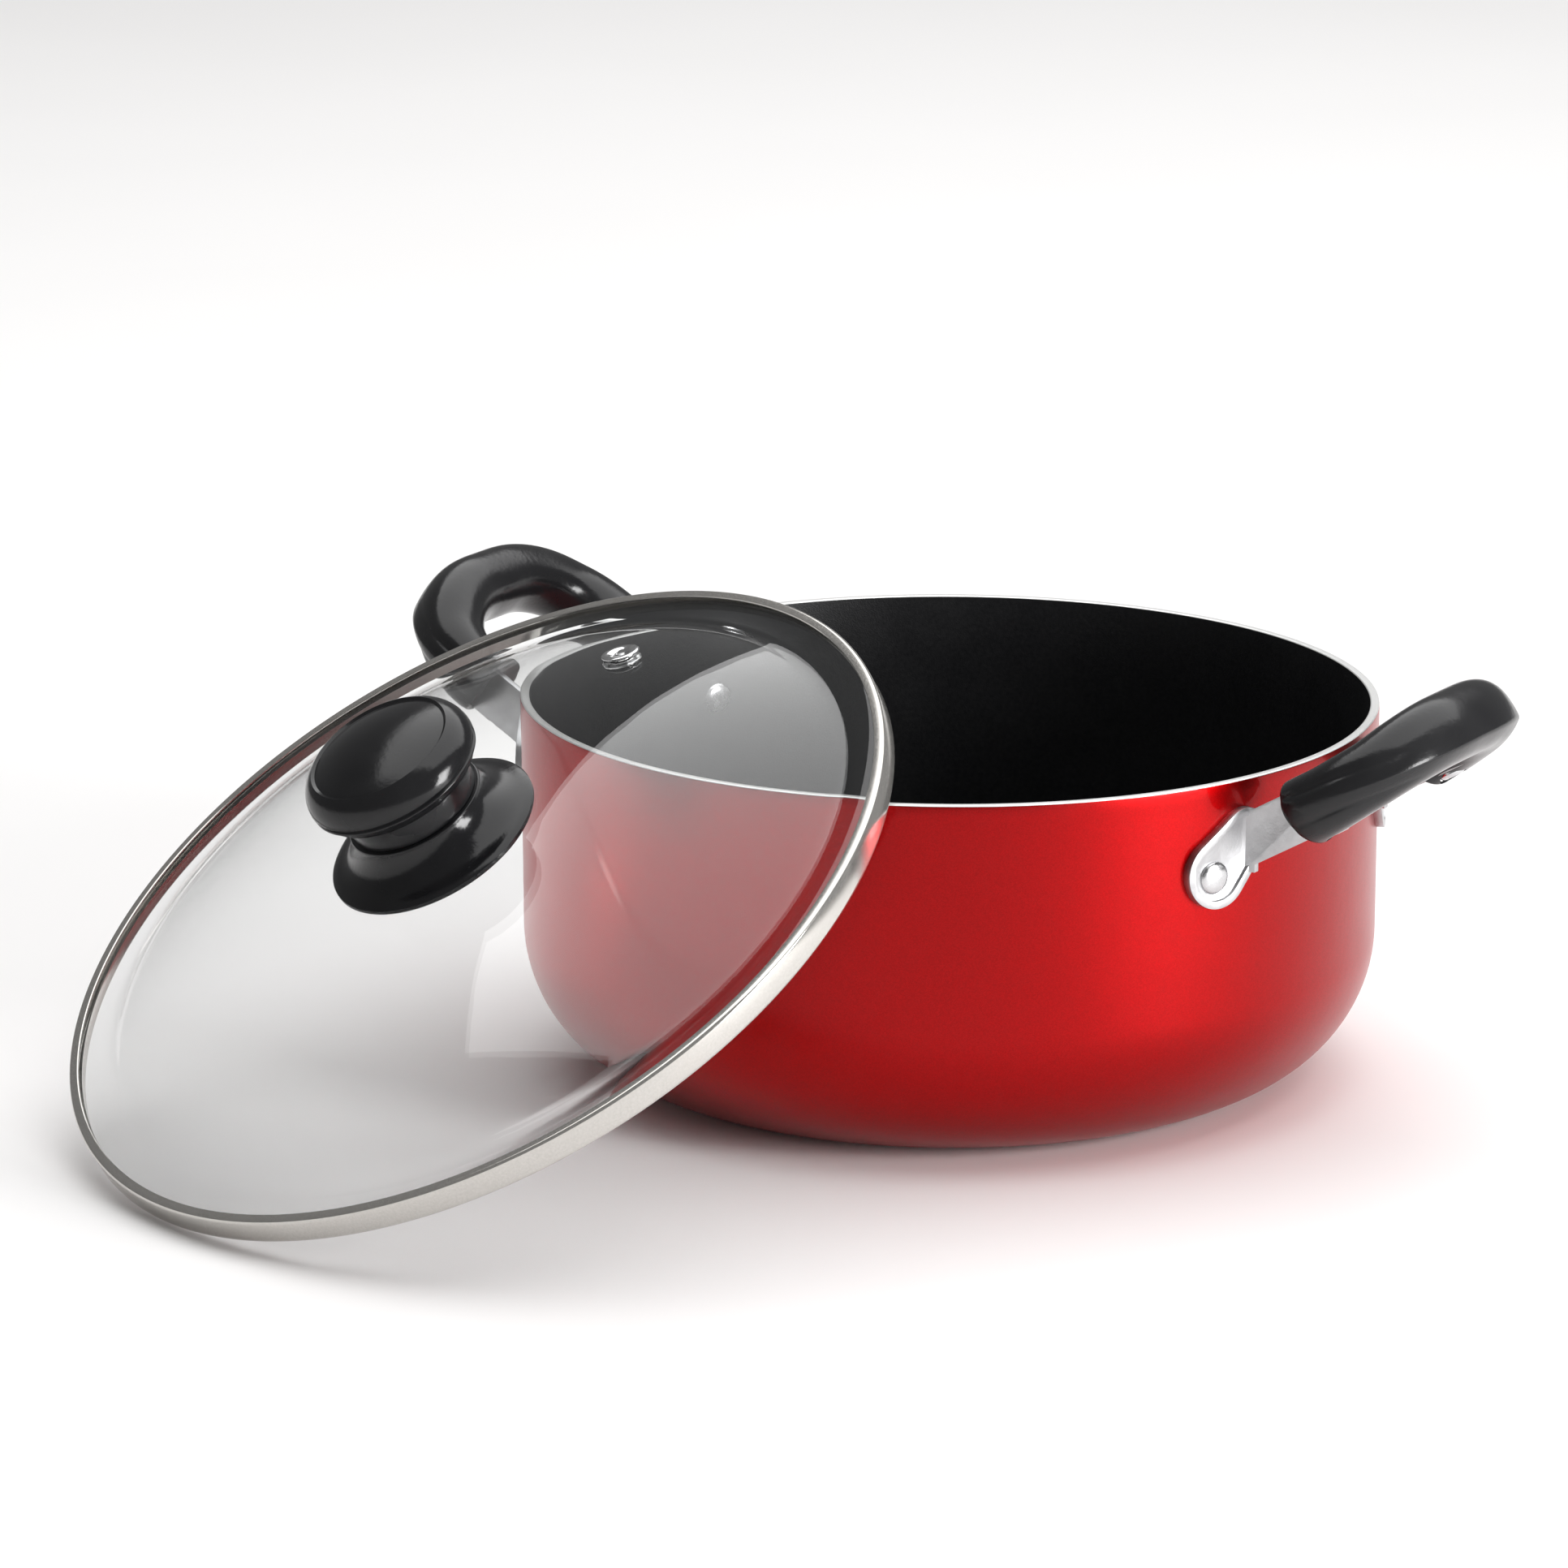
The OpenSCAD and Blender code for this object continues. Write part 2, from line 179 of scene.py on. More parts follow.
bare_metal, tree, shader = finish_material("turned_bare_aluminium")
rings = node(tree, "ShaderNodeTexWave", wave_type="RINGS", rings_direction="Z", Scale=1500.0)
rings.inputs["Distortion"].default_value = 0.6
tree.links.new(node(tree, "ShaderNodeTexCoord").outputs["Object"], rings.inputs["Vector"])
tree.links.new(
    between(tree, rings.outputs["Fac"], (0.84, 0.84, 0.83), (0.88, 0.88, 0.87)),
    shader.inputs["Base Color"],
)
shader.inputs["Metallic"].default_value = 0.6
tree.links.new(speckle(tree, 2200.0, 0.34, 0.40), shader.inputs["Roughness"])
raise_surface(tree, shader, speckle(tree, 2600.0, 0.0, 1.0), 0.0000008)

for material in (red_coat, non_stick, bare_metal):
    pot.data.materials.append(material)
BARE_RIM = 0.35
BARE_BASE_R = POT_R - CORNER + 2
BLACK, BARE = 1, 2
for face in pot.data.polygons:
    x, y, z = face.center * 1000
    reach = math.hypot(x, y)
    if z > POT_H - BARE_RIM or (reach < BARE_BASE_R and z < 1):
        face.material_index = BARE
    elif face.normal.dot(Vector((x, y, 0))) < 0 or (face.normal.z > 0.5 and z > 1):
        face.material_index = BLACK
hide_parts("pot_body")
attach(pot, "pot")


# ---------------------------------------------------------------- handles
# Two moulded black phenolic loops, one each side. Each rises outwards, has two flutes along the
# outside of its legs and a crest round the outside of its grip, and is pushed over the bracket
# straps and screwed from below.

RISE = 30
SOCKET = Vector((131.0, 0, 100.0))
LOOP_RISE = 36.7
LEG_Y = 37.0
GRIP_A = 33.2
BEND_A = 27.0
BEND_B = 31.0
HALF_WIDE = 9.6
RING = 72
FLUTE_DEPTH = 1.2
CREST_RISE = 1.7


def ramp(x, stops):
    """A value that runs between (place, value) stops."""
    for (x0, y0), (x1, y1) in zip(stops, stops[1:]):
        if x <= x1:
            return y0 + (y1 - y0) * max(0.0, (x - x0) / (x1 - x0))
    return stops[-1][1]


def loop_stations():
    """Places along the loop from the front socket to the back one, each with its heading, in the
    loop's own plane in millimetres."""
    half = []
    for i in range(7):
        a = 1.0 + (GRIP_A - BEND_A - 1.0) * i / 6
        half.append((a, -LEG_Y + 1.4 * (1 - i / 6) ** 2, 0.0))
    for i in range(1, 17):
        t = math.radians(90 * i / 16)
        a = GRIP_A - BEND_A + BEND_A * math.sin(t)
        b = -LEG_Y + BEND_B - BEND_B * math.cos(t)
        half.append((a, b, math.degrees(math.atan2(BEND_B * math.sin(t), BEND_A * math.cos(t)))))
    for i in range(1, 7):
        half.append((GRIP_A, (BEND_B - LEG_Y) * (1 - i / 6), 90.0))
    return half + [(a, -b, 180 - h) for a, b, h in reversed(half[:-1])]


def ring_point(slot, a, heading):
    """One point of the loop's section, outwards and upwards. Slot 0 is the crest."""
    deep = ramp(a, ((0, 9.9), (10, 9.4), (22, 9.2), (33, 9.9)))
    drop = ramp(a, ((0, -0.7), (10, -1.4), (22, -1.5), (33, -0.25)))
    crest_at = ramp(a, ((2, 11.0), (12, 2.0), (24, -22.0), (33, -38.0)))
    turn = heading if heading <= 90 else 180 - heading
    flute = ramp(turn, ((0, 1.0), (15, 1.0), (60, 0.0))) * ramp(a, ((1, 0.4), (8, 1.0)))
    away = 360 * slot / RING
    away = away if away <= 180 else away - 360
    t = math.radians(away + crest_at)
    c, s = math.cos(t), math.sin(t)
    power = 2 / 2.25
    u = HALF_WIDE * math.copysign(abs(c) ** power, c)
    v = deep * math.copysign(abs(s) ** power, s)
    groove = sum(math.exp(-abs(away - at) / 10.0) for at in (25, -25))
    crest = math.exp(-abs(away) / 22.0) * ramp(turn, ((10, 0.0), (60, 1.0)))
    out = -FLUTE_DEPTH * flute * groove + CREST_RISE * crest
    return u + out * c, v + out * s + drop


def handle_loop(name):
    """The right handle: a ring of points at its front socket, extruded along the loop."""
    bpy.ops.object.select_all(action="DESELECT")
    bpy.ops.mesh.primitive_circle_add(vertices=RING, radius=0.01)
    piece = bpy.context.object
    piece.name = piece.data.name = name
    slots = {v.index: v.index for v in piece.data.vertices}
    stations = loop_stations()
    bpy.ops.object.mode_set(mode="EDIT")
    bpy.ops.mesh.select_all(action="SELECT")
    for number, (a, b, heading) in enumerate(stations):
        if number:
            bpy.ops.mesh.extrude_edges_move(TRANSFORM_OT_translate={"value": (0, 0, 0.001)})
        work = bmesh.from_edit_mesh(piece.data)
        work.verts.ensure_lookup_table()
        work.verts.index_update()
        h = math.radians(heading)
        out = Vector((math.sin(h), -math.cos(h), 0))
        for v in [v for v in work.verts if v.select]:
            if v.index not in slots:
                source = next(e.other_vert(v) for e in v.link_edges if not e.other_vert(v).select)
                slots[v.index] = slots[source.index]
            u, w = ring_point(slots[v.index], a, heading)
            near_end = max(0.0, 1 - min(number, len(stations) - 1 - number) / 4)
            bulge = 1.6 * near_end * (1 - (w / 10) ** 2)
            v.co = (Vector((a - bulge, b, 0)) + out * u + Vector((0, 0, w))) / 1000
        bmesh.update_edit_mesh(piece.data)
    bpy.ops.object.mode_set(mode="OBJECT")
    return piece


def settle(piece, place):
    """Puts a piece where it goes and makes that place its mesh's own."""
    bpy.ops.object.select_all(action="DESELECT")
    piece.select_set(True)
    bpy.context.view_layer.objects.active = piece
    piece.matrix_world = place
    bpy.ops.object.transform_apply(location=True, rotation=True, scale=True)
    return piece


def twin(piece, name, place):
    """A copy with its own mesh, put somewhere else; a mirrored one gets its faces turned out."""
    copy = piece.copy()
    copy.data = piece.data.copy()
    copy.name = copy.data.name = name
    bpy.context.scene.collection.objects.link(copy)
    settle(copy, place @ copy.matrix_world)
    if place.determinant() < 0:
        bpy.ops.object.mode_set(mode="EDIT")
        bpy.ops.mesh.select_all(action="SELECT")
        bpy.ops.mesh.normals_make_consistent(inside=False)
        bpy.ops.object.mode_set(mode="OBJECT")
    return copy


MIRROR_X = Matrix.Diagonal((-1, 1, 1, 1))
MIRROR_Y = Matrix.Diagonal((1, -1, 1, 1))
SLOPE = Matrix.Rotation(math.radians(-RISE), 4, "Y")
SCREW_AT = Vector((141.0, -34.9, 96.8))
WELL_R = 4.3

handle_right = handle_loop("handle_right_loop")
bpy.ops.object.mode_set(mode="EDIT")
bpy.ops.mesh.select_mode(type="EDGE")
for side in (-1, 1):
    bpy.ops.mesh.select_all(action="DESELECT")
    work = bmesh.from_edit_mesh(handle_right.data)
    for edge in work.edges:
        edge.select = edge.is_boundary and edge.verts[0].co.y * side > 0
    bmesh.update_edit_mesh(handle_right.data)
    bpy.ops.mesh.edge_face_add()
    bpy.ops.mesh.select_mode(type="FACE")
    bpy.ops.mesh.inset(thickness=0.0008, depth=0.0006)
    bpy.ops.mesh.inset(thickness=0.0014, depth=0.0003)
    bpy.ops.mesh.select_mode(type="EDGE")
bpy.ops.mesh.select_all(action="SELECT")
bpy.ops.mesh.normals_make_consistent(inside=False)
bpy.ops.object.mode_set(mode="OBJECT")
loop_slope = Matrix.Rotation(math.radians(-LOOP_RISE), 4, "Y")
settle(handle_right, Matrix.Translation(SOCKET / 1000) @ loop_slope)
rounding = handle_right.modifiers.new("rounding", "SUBSURF")
rounding.levels = rounding.render_levels = 1
bpy.ops.object.modifier_apply(modifier="rounding")
for side in (-1, 1):
    bpy.ops.object.select_all(action="DESELECT")
    bpy.ops.mesh.primitive_cylinder_add(vertices=48, radius=WELL_R / 1000, depth=0.02)
    well = bpy.context.object
    spot = Vector((SCREW_AT.x, SCREW_AT.y * -side, SCREW_AT.z)) / 1000
    settle(well, Matrix.Translation(spot) @ SLOPE @ Matrix.Translation((0, 0, -0.01)))
    bpy.ops.object.select_all(action="DESELECT")
    bpy.context.view_layer.objects.active = handle_right
    handle_right.select_set(True)
    cut = handle_right.modifiers.new("screw_well", "BOOLEAN")
    cut.operation = "DIFFERENCE"
    cut.object = well
    bpy.ops.object.modifier_apply(modifier="screw_well")
    bpy.data.objects.remove(well)
bpy.ops.object.shade_smooth_by_angle(angle=math.radians(35))

phenolic, tree, shader = finish_material("moulded_black_phenolic")
tree.links.new(
    between(tree, speckle(tree, 35.0, 0.0, 1.0), (0.010, 0.010, 0.011), (0.018, 0.018, 0.019)),
    shader.inputs["Base Color"],
)
tree.links.new(speckle(tree, 90.0, 0.16, 0.25), shader.inputs["Roughness"])
shader.inputs["Specular IOR Level"].default_value = 0.35
raise_surface(tree, shader, speckle(tree, 700.0, 0.0, 1.0, detail=4.0), 0.00002)

handle_right.data.materials.append(phenolic)
handle_left = twin(handle_right, "handle_left_loop", MIRROR_X)
for loop, side in ((handle_right, "right"), (handle_left, "left")):
    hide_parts(f"handle_{side}")
    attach(loop, "pot")


# ---------------------------------------------------------------- brackets
# Four bent aluminium straps. The foot is pressed to the wall's curve with a raised border and is
# riveted on; the upright web and the flange folded in below it run up into the handle's leg.


def eased_copy(name, source, width, segments=2):
    """A copy of a machined part with its doubles merged and its sharp edges taken off."""
    bpy.ops.object.select_all(action="DESELECT")
    piece = frame["nodes"][source].copy()
    piece.data = piece.data.copy()
    piece.name = piece.data.name = name
    for key in list(piece.keys()):
        del piece[key]
    piece.parent = None
    bpy.context.scene.collection.objects.link(piece)
    piece.select_set(True)
    bpy.context.view_layer.objects.active = piece
    piece.data.materials.clear()
    bpy.ops.object.mode_set(mode="EDIT")
    bpy.ops.mesh.select_all(action="SELECT")
    bpy.ops.mesh.remove_doubles(threshold=0.000003)
    bpy.ops.mesh.dissolve_limited(angle_limit=math.radians(0.6))
    bpy.ops.object.mode_set(mode="OBJECT")
    ease = piece.modifiers.new("ease", "BEVEL")
    ease.width = width
    ease.segments = segments
    ease.limit_method = "ANGLE"
    ease.angle_limit = math.radians(38)
    bpy.ops.object.modifier_apply(modifier="ease")
    bpy.ops.object.shade_smooth_by_angle(angle=math.radians(40))
    return piece


strap_metal, tree, shader = finish_material("satin_pressed_aluminium")
tree.links.new(
    between(tree, speckle(tree, 160.0, 0.0, 1.0), (0.48, 0.48, 0.49), (0.56, 0.56, 0.57)),
    shader.inputs["Base Color"],
)
shader.inputs["Metallic"].default_value = 1.0
tree.links.new(speckle(tree, 420.0, 0.30, 0.42), shader.inputs["Roughness"])
raise_surface(tree, shader, speckle(tree, 1400.0, 0.0, 1.0), 0.00002)

for side in ("right", "left"):
    for end in ("front", "back"):
        strap = eased_copy(f"strap_{side}_{end}", f"bracket_{side}_{end}", 0.00035)
        strap.data.materials.append(strap_metal)
        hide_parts(f"bracket_{side}_{end}")
        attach(strap, "pot")


# ---------------------------------------------------------------- rivets
# One aluminium rivet to each bracket foot, with a low domed head outside and a flat one inside
# the pot, set by a press.

RIVET_TURN = 24.21
RIVET_Z = 81.8
rivet_outline = [
    (0, 117.85), (2.2, 117.88), (3.6, 118.05), (4.3, 118.4), (4.55, 118.9), (4.55, 119.2),
    (2.5, 119.2), (2.5, 122.6), (4.6, 122.6), (4.6, 122.9), (4.35, 123.3), (3.6, 123.7),
    (2.4, 123.98), (1.2, 124.08), (0, 124.1),
]  # fmt: skip
rivet = turned("rivet", rivet_outline, steps=48, crease=50)
rivet_metal, tree, shader = finish_material("pressed_rivet_aluminium")
tree.links.new(
    between(tree, speckle(tree, 300.0, 0.0, 1.0), (0.56, 0.56, 0.57), (0.64, 0.64, 0.65)),
    shader.inputs["Base Color"],
)
shader.inputs["Metallic"].default_value = 1.0
tree.links.new(speckle(tree, 600.0, 0.20, 0.32), shader.inputs["Roughness"])
rivet.data.materials.append(rivet_metal)

for side in ("right", "left"):
    for end in ("front", "back"):
        bearing = RIVET_TURN if end == "back" else -RIVET_TURN
        bearing = bearing if side == "right" else 180 - bearing
        place = (
            Matrix.Translation((0, 0, RIVET_Z / 1000))
            @ Matrix.Rotation(math.radians(bearing), 4, "Z")
            @ Matrix.Rotation(math.radians(90), 4, "Y")
        )
        one = twin(rivet, f"rivet_set_{side}_{end}", place)
        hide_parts(f"rivet_{side}_{end}")
        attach(one, "pot")
bpy.data.objects.remove(rivet)


# ---------------------------------------------------------------- handle screws
# One zinc-plated M4 pan head screw to each leg, driven up through the well in its underside into
# the strap's flange.

screw_outline = [
    (0, -1.2), (1.0, -1.2), (1.0, -2.0), (2.6, -1.95), (3.5, -1.6), (4.0, -0.9), (4.0, 0),
    (2.0, 0), (2.0, 9.4), (1.5, 10.0), (0, 10.0),
]  # fmt: skip
screw = turned("screw", screw_outline, steps=48)
zinc, tree, shader = finish_material("bright_zinc_plate")
tree.links.new(
    between(tree, speckle(tree, 500.0, 0.0, 1.0), (0.58, 0.59, 0.61), (0.70, 0.71, 0.72)),
    shader.inputs["Base Color"],
)
shader.inputs["Metallic"].default_value = 1.0
tree.links.new(speckle(tree, 800.0, 0.18, 0.30), shader.inputs["Roughness"])
screw.data.materials.append(zinc)
for side, flip_x in (("right", Matrix.Identity(4)), ("left", MIRROR_X)):
    for end, flip_y in (("front", Matrix.Identity(4)), ("back", MIRROR_Y)):
        place = flip_x @ flip_y @ Matrix.Translation(SCREW_AT / 1000) @ SLOPE
        fixing = twin(screw, f"leg_screw_{side}_{end}", place)
        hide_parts(f"handle_screw_{side}_{end}")
        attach(fixing, "pot")
bpy.data.objects.remove(screw)


# ---------------------------------------------------------------- lid glass
# A 4 mm tempered glass dome with a flat edge. It leans on the pot's rim with one edge on the
# ground, so its pieces are turned upright first and then laid along the lift's own axis.

BAND_R = 124.75
BAND_H = 8.0
EDGE_R = 124.05
EDGE_TOP = 7.4
GLASS = 4.0
DOME_TOP = 30.5
DOME_R = 283.06
DOME_Z = DOME_TOP - DOME_R
BEND_AT = 114.04
BEND_R = 10.0
SCREW_HOLE = 4.0
VENT_AT = 88.0
VENT_TURN = 195.0

lid_axis = Vector(frame["joints"][0]["axis"]).normalized()
band_low, band_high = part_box("lid_band")
lid_foot = (band_low + band_high) / 2 - lid_axis * BAND_H / 2000
lid_place = (
    Matrix.Translation(lid_foot)
    @ Matrix.Rotation(math.atan2(lid_axis.y, lid_axis.x), 4, "Z")
    @ Matrix.Rotation(math.acos(lid_axis.z), 4, "Y")
)

swing = math.degrees(math.asin(BEND_AT / (DOME_R + BEND_R)))
hole_swing = math.degrees(math.asin((SCREW_HOLE + 0.3) / DOME_R))
glass_outline = (
    arc(0, DOME_Z, DOME_R, 90 - hole_swing, 90 - swing, 40)
    + arc(BEND_AT, EDGE_TOP + BEND_R, BEND_R, 270 - swing, 270, 6)
    + arc(EDGE_R - 0.6, EDGE_TOP - 0.6, 0.6, 90, 0, 4)
    + arc(EDGE_R - 0.6, EDGE_TOP - GLASS + 0.6, 0.6, 0, -90, 4)
    + arc(BEND_AT, EDGE_TOP + BEND_R, BEND_R + GLASS, 270, 270 - swing, 6)
    + arc(0, DOME_Z, DOME_R - GLASS, 90 - swing, 90 - hole_swing, 40)
)
glass_outline.append(glass_outline[0])
glass = turned("lid_dome", glass_outline, steps=200)
bpy.ops.object.select_all(action="DESELECT")
bpy.ops.mesh.primitive_cylinder_add(vertices=48, radius=0.0035, depth=0.02)
drill = bpy.context.object
vent_place = (
    Matrix.Translation((0, 0, DOME_Z / 1000))
    @ Matrix.Rotation(math.radians(VENT_TURN), 4, "Z")
    @ Matrix.Rotation(math.asin(VENT_AT / DOME_R), 4, "Y")
    @ Matrix.Translation((0, 0, DOME_R / 1000))
)
settle(drill, vent_place)
bpy.context.view_layer.objects.active = glass
cut = glass.modifiers.new("vent_hole", "BOOLEAN")
cut.operation = "DIFFERENCE"
cut.object = drill
bpy.ops.object.modifier_apply(modifier="vent_hole")
bpy.data.objects.remove(drill)
settle(glass, lid_place)
bpy.ops.object.shade_smooth_by_angle(angle=math.radians(30))

clear_glass, tree, shader = finish_material("tempered_clear_glass")
shader.inputs["Base Color"].default_value = (0.99, 1.0, 1.0, 1)
shader.inputs["Transmission Weight"].default_value = 1.0
shader.inputs["IOR"].default_value = 1.42
tree.links.new(speckle(tree, 18.0, 0.0, 0.02), shader.inputs["Roughness"])
raise_surface(tree, shader, speckle(tree, 22.0, 0.0, 1.0), 0.00003)
glass.data.materials.append(clear_glass)
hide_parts("lid_glass")
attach(glass, "lid")


# ---------------------------------------------------------------- lid band
# A thin stainless band rolled round the glass: a lip over its top edge, a plain outer wall and a
# hem folded in under the glass.

LIP = 3.0
HEM = 3.2
SHEET = 0.6
band_outline = (
    arc(BAND_R - 1.1, BAND_H - 1.1, 1.1, 0, 90, 5)
    + [(BAND_R - LIP + 0.2, BAND_H), (BAND_R - LIP, BAND_H - 0.25), (BAND_R - LIP, EDGE_TOP)]
    + arc(BAND_R - 1.1, EDGE_TOP - 0.5, 0.5, 90, 0, 3)
    + arc(BAND_R - 1.3, 1.3, 0.7, 0, -90, 3)
    + [(BAND_R - HEM + SHEET, SHEET), (BAND_R - HEM + SHEET, EDGE_TOP - GLASS - 0.1)]
    + [(BAND_R - HEM, EDGE_TOP - GLASS - 0.1)]
    + arc(BAND_R - HEM + 0.5, 0.5, 0.5, 180, 270, 3)
    + arc(BAND_R - 1.3, 1.3, 1.3, -90, 0, 5)
)
band_outline.append(band_outline[0])
band = turned("lid_rolled_band", band_outline, steps=240)
settle(band, lid_place)
band_steel, tree, shader = finish_material("rolled_stainless_band")
tree.links.new(
    between(tree, speckle(tree, 1600.0, 0.0, 1.0), (0.56, 0.54, 0.51), (0.63, 0.61, 0.58)),
    shader.inputs["Base Color"],
)
shader.inputs["Metallic"].default_value = 0.85
tree.links.new(speckle(tree, 1600.0, 0.12, 0.18), shader.inputs["Roughness"])
band.data.materials.append(band_steel)
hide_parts("lid_band")
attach(band, "lid")


# ---------------------------------------------------------------- steam vent
# A bright rolled eyelet set in a hole through the glass, with a rounded flange on both faces.

vent_outline = (
    [(2.2, -4.9)]
    + arc(5.1, -4.5, 0.45, -90, 90, 5)
    + [(3.4, -4.0), (3.4, 0.02)]
    + arc(5.1, 0.42, 0.4, -90, 80, 6)
    + [(4.2, 0.9), (3.2, 0.78), (2.6, 0.4), (2.2, -0.3), (2.2, -4.9)]
)
vent = turned("steam_eyelet", vent_outline, steps=64)
settle(vent, lid_place @ vent_place)
eyelet_steel, tree, shader = finish_material("bright_eyelet_steel")
tree.links.new(
    between(tree, speckle(tree, 700.0, 0.0, 1.0), (0.68, 0.68, 0.69), (0.80, 0.80, 0.80)),
    shader.inputs["Base Color"],
)
shader.inputs["Metallic"].default_value = 1.0
tree.links.new(speckle(tree, 900.0, 0.12, 0.22), shader.inputs["Roughness"])
vent.data.materials.append(eyelet_steel)
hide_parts("steam_vent")
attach(vent, "lid")


# ---------------------------------------------------------------- knob
# A moulded black phenolic knob in two pieces: a flared base that spreads on the glass, and a
# mushroom head with its neck. A screw from under the glass pulls them together.

knob_place = lid_place @ Matrix.Translation((0, 0, DOME_TOP / 1000))

base_outline = (
    [(2.6, 1.2), (15, 1.2), (29.4, -1.25), (30.2, -1.2), (30.5, -0.8), (30.45, 0.1), (30.0, 0.5)]
    + arc(30.7, 11.8, 11.0, 262, 190, 14)[1:]
    + [(19.8, 10.4)]
    + arc(19.3, 10.5, 0.5, 0, 90, 3)
    + [(2.6, 11.0), (2.6, 1.2)]
)
knob_base = turned("knob_flared_base", base_outline, steps=128)
head_outline = (
    [(0, 11.0), (18.2, 11.0)]
    + arc(18.1, 11.5, 0.5, -90, 0, 3)
    + [(18.6, 17.6)]
    + arc(19.6, 17.8, 1.0, 180, 100, 4)
    + [(22.6, 19.9), (23.4, 21.0), (24.1, 22.0), (24.5, 22.4)]
    + arc(24.3, 22.9, 0.5, -60, 60, 4)
    + [(24.2, 23.6), (24.6, 23.9)]
    + arc(16.4, 24.5, 8.6, 0, 62, 10)
    + arc(0, -15.6, 51.1, 67.5, 90, 12)
)
knob_head = turned("knob_mushroom_head", head_outline, steps=128)

knob_moulding, tree, shader = finish_material("moulded_black_knob")
tree.links.new(
    between(tree, speckle(tree, 45.0, 0.0, 1.0), (0.008, 0.008, 0.009), (0.015, 0.015, 0.016)),
    shader.inputs["Base Color"],
)
tree.links.new(speckle(tree, 110.0, 0.12, 0.20), shader.inputs["Roughness"])
shader.inputs["Specular IOR Level"].default_value = 0.35
raise_surface(tree, shader, speckle(tree, 800.0, 0.0, 1.0, detail=4.0), 0.000015)
for part, cad in ((knob_base, "knob_base"), (knob_head, "knob_head")):
    settle(part, knob_place)
    part.data.materials.append(knob_moulding)
    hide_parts(cad)
    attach(part, "lid")


# ---------------------------------------------------------------- knob fixings
# What clamps the knob: a brass insert moulded in the neck, a silicone washer on each side of the
# glass, a steel washer and a pan head screw driven from below.

UNDER = -GLASS - 0.25
insert_outline = [(2.5, 11.1), (4.2, 11.1), (4.5, 11.4), (4.5, 14), (4.2, 14.3), (4.2, 15.2),
                  (4.5, 15.5), (4.5, 24.7), (4.2, 25), (2.5, 25), (2.5, 11.1)]  # fmt: skip
upper_seal_outline = [(4.1, 0.02), (13.7, 0.02), (14, 0.3), (14, 0.95), (13.7, 1.18), (4.1, 1.18),
                      (4.1, 0.02)]  # fmt: skip
lower_seal_outline = [(2.6, UNDER - 1.2), (9.6, UNDER - 1.2), (10, UNDER - 0.9),
                      (10, UNDER - 0.3), (9.6, UNDER), (2.6, UNDER), (2.6, UNDER - 1.2)]  # fmt: skip
washer_outline = [(2.6, UNDER - 2.2), (8.7, UNDER - 2.2), (9, UNDER - 1.95), (9, UNDER - 1.4),
                  (8.8, UNDER - 1.2), (2.6, UNDER - 1.2), (2.6, UNDER - 2.2)]  # fmt: skip
knob_screw_outline = [(0, UNDER - 3.9), (1.3, UNDER - 3.9), (1.3, UNDER - 5.2),
                      (2.8, UNDER - 5.15), (4.3, UNDER - 4.6), (5, UNDER - 3.6),
                      (5, UNDER - 2.2), (2.5, UNDER - 2.2), (2.5, 22.5), (2.0, 23), (0, 23)]  # fmt: skip

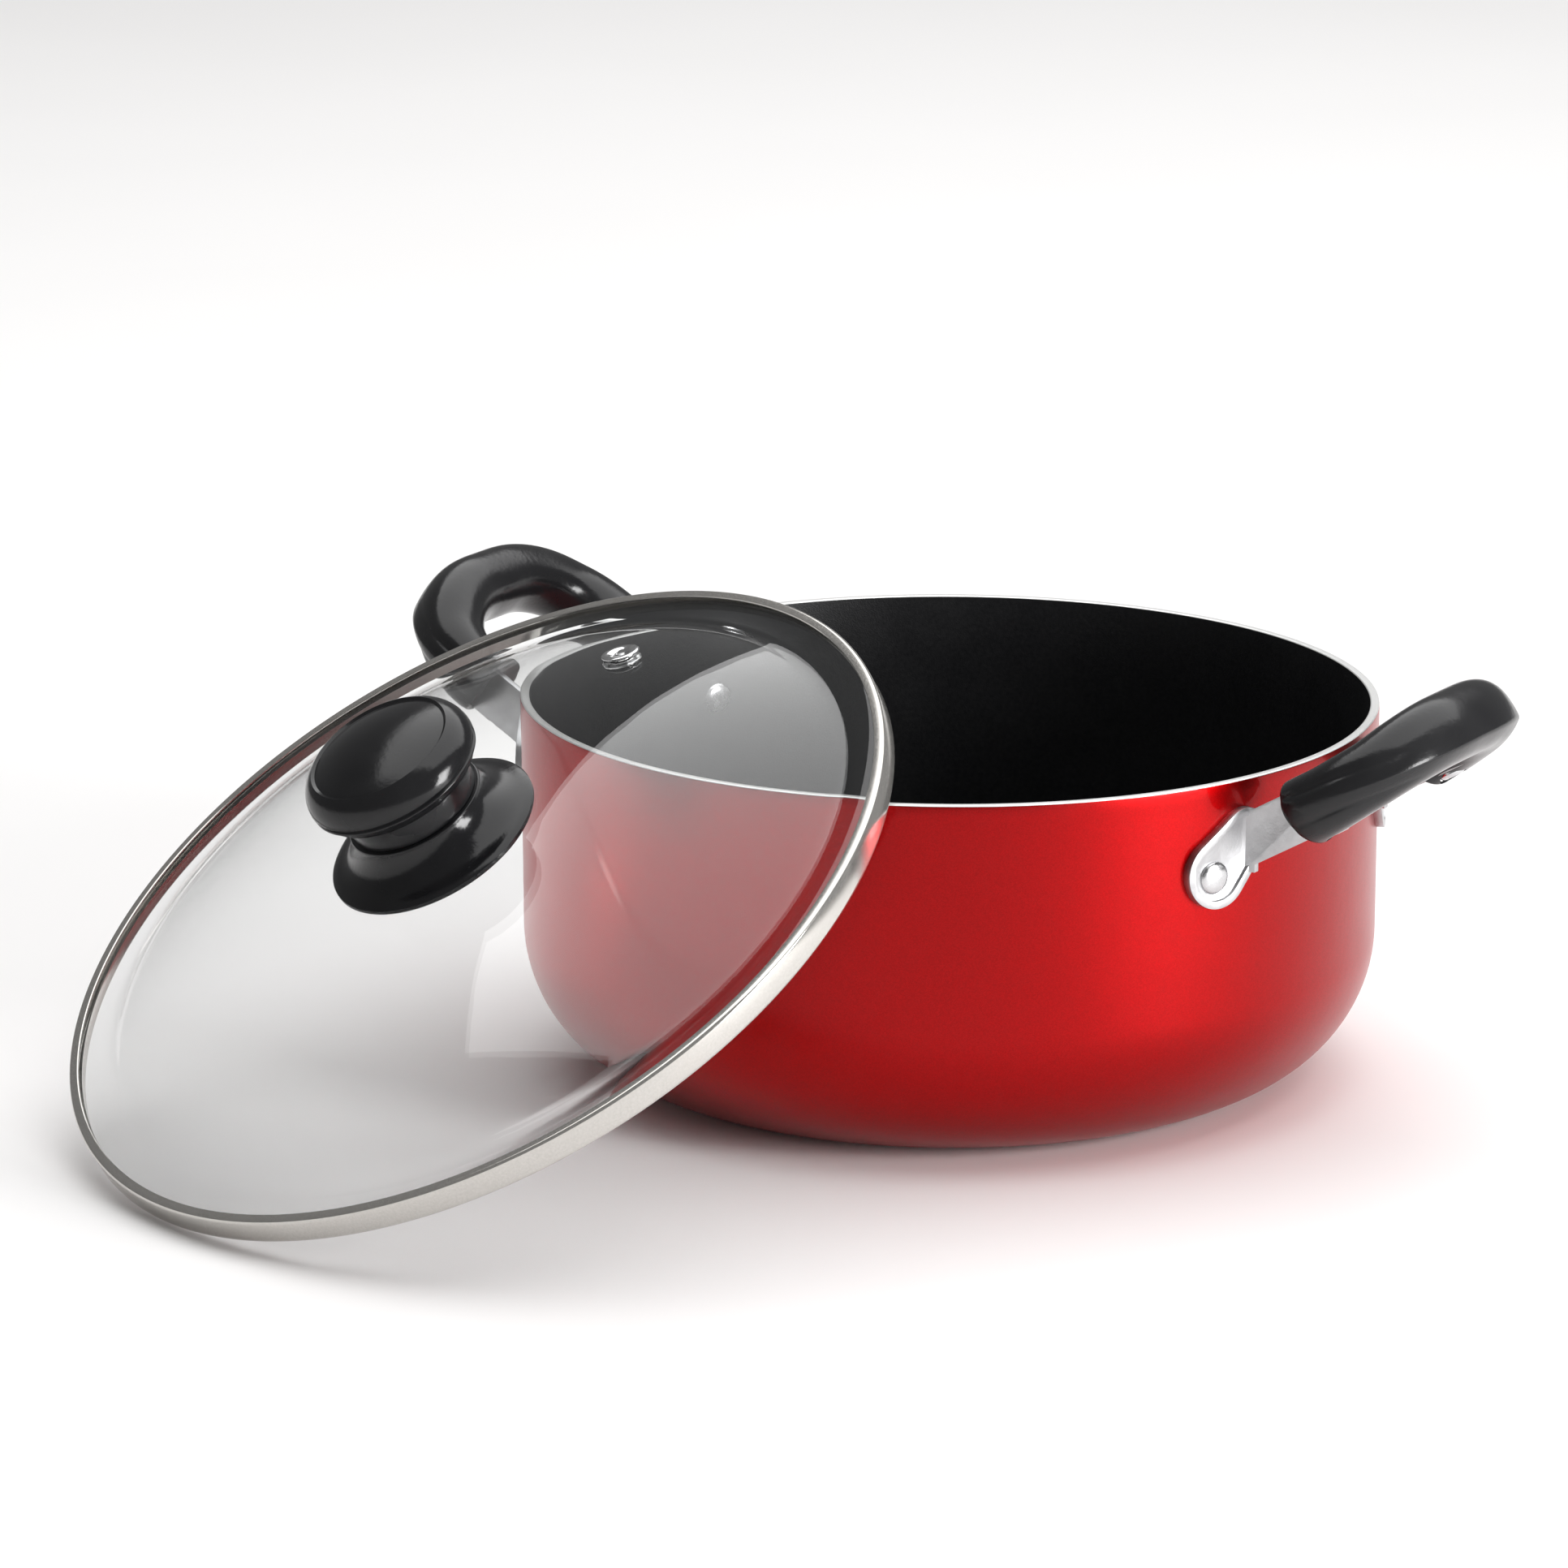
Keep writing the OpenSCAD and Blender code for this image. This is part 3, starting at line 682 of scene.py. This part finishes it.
brass, tree, shader = finish_material("turned_brass")
tree.links.new(
    between(tree, speckle(tree, 500.0, 0.0, 1.0), (0.70, 0.52, 0.22), (0.82, 0.65, 0.34)),
    shader.inputs["Base Color"],
)
shader.inputs["Metallic"].default_value = 1.0
tree.links.new(speckle(tree, 700.0, 0.2, 0.34), shader.inputs["Roughness"])
silicone, tree, shader = finish_material("clear_grey_silicone")
tree.links.new(
    between(tree, speckle(tree, 200.0, 0.0, 1.0), (0.60, 0.60, 0.58), (0.72, 0.72, 0.70)),
    shader.inputs["Base Color"],
)
tree.links.new(speckle(tree, 400.0, 0.45, 0.6), shader.inputs["Roughness"])
for name, outline, cad, finish, slot in (
    ("knob_brass_insert", insert_outline, "knob_insert", brass, "insert_brass"),
    ("upper_silicone_washer", upper_seal_outline, "knob_gasket", silicone, "gasket_silicone"),
    ("lower_silicone_washer", lower_seal_outline, "glass_gasket", silicone, "gasket_silicone"),
    ("plain_steel_washer", washer_outline, "steel_washer", zinc, "screw_steel"),
    ("knob_pan_head_screw", knob_screw_outline, "knob_screw", zinc, "screw_steel"),
):
    part = turned(name, outline, steps=64)
    settle(part, knob_place)
    part.data.materials.append(finish)
    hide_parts(cad)
    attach(part, "lid")


# ---------------------------------------------------------------- studio
# Pale paper under and behind the pot, one large soft box overhead, a low one to the right for the
# bright band on the pot's wall, and the camera at the front right, a little above.

bpy.ops.object.select_all(action="DESELECT")
bpy.ops.mesh.primitive_plane_add(size=9.0, location=(0, 0, 0))
floor = bpy.context.object
floor.name = "studio_floor"
paper, tree, shader = finish_material("white_studio_paper")
tree.links.new(
    between(tree, speckle(tree, 3.0, 0.0, 1.0), (0.90, 0.89, 0.885), (0.92, 0.91, 0.905)),
    shader.inputs["Base Color"],
)
shader.inputs["Roughness"].default_value = 0.7
floor.data.materials.append(paper)


def soft_light(name, place, aim, width, height, watts, tint=(1, 1, 1)):
    """A soft box at a place, turned towards a point."""
    lamp = bpy.data.lights.new(name, "AREA")
    lamp.shape = "RECTANGLE"
    lamp.size, lamp.size_y = width, height
    lamp.energy = watts
    lamp.color = tint
    box = bpy.data.objects.new(name, lamp)
    bpy.context.scene.collection.objects.link(box)
    box.location = place
    box.rotation_euler = (Vector(aim) - Vector(place)).to_track_quat("-Z", "Y").to_euler()
    return box


soft_light("top_box", (0.0, 0.7, 2.1), (0, 0.3, 0.0), 3.6, 3.6, 84)
soft_light("right_box", (1.7, -0.1, 0.45), (0, 0, 0.08), 0.55, 0.8, 30)

world = bpy.data.worlds.new("studio_air")
bpy.context.scene.world = world
world.use_nodes = True
world.node_tree.nodes["Background"].inputs["Color"].default_value = (1.0, 1.0, 1.0, 1)
world.node_tree.nodes["Background"].inputs["Strength"].default_value = 0.18

bpy.context.scene.view_settings.view_transform = "Standard"

lens = bpy.data.cameras.new("camera")
lens.lens = 166.85
lens.sensor_width = 36.0
camera = bpy.data.objects.new("camera", lens)
bpy.context.scene.collection.objects.link(camera)
camera.location = (1.0, -1.73205, 0.61764)
aim = Vector((-0.04527, -0.01650, 0.07847))
camera.rotation_euler = (aim - camera.location).to_track_quat("-Z", "Y").to_euler()
bpy.context.scene.camera = camera
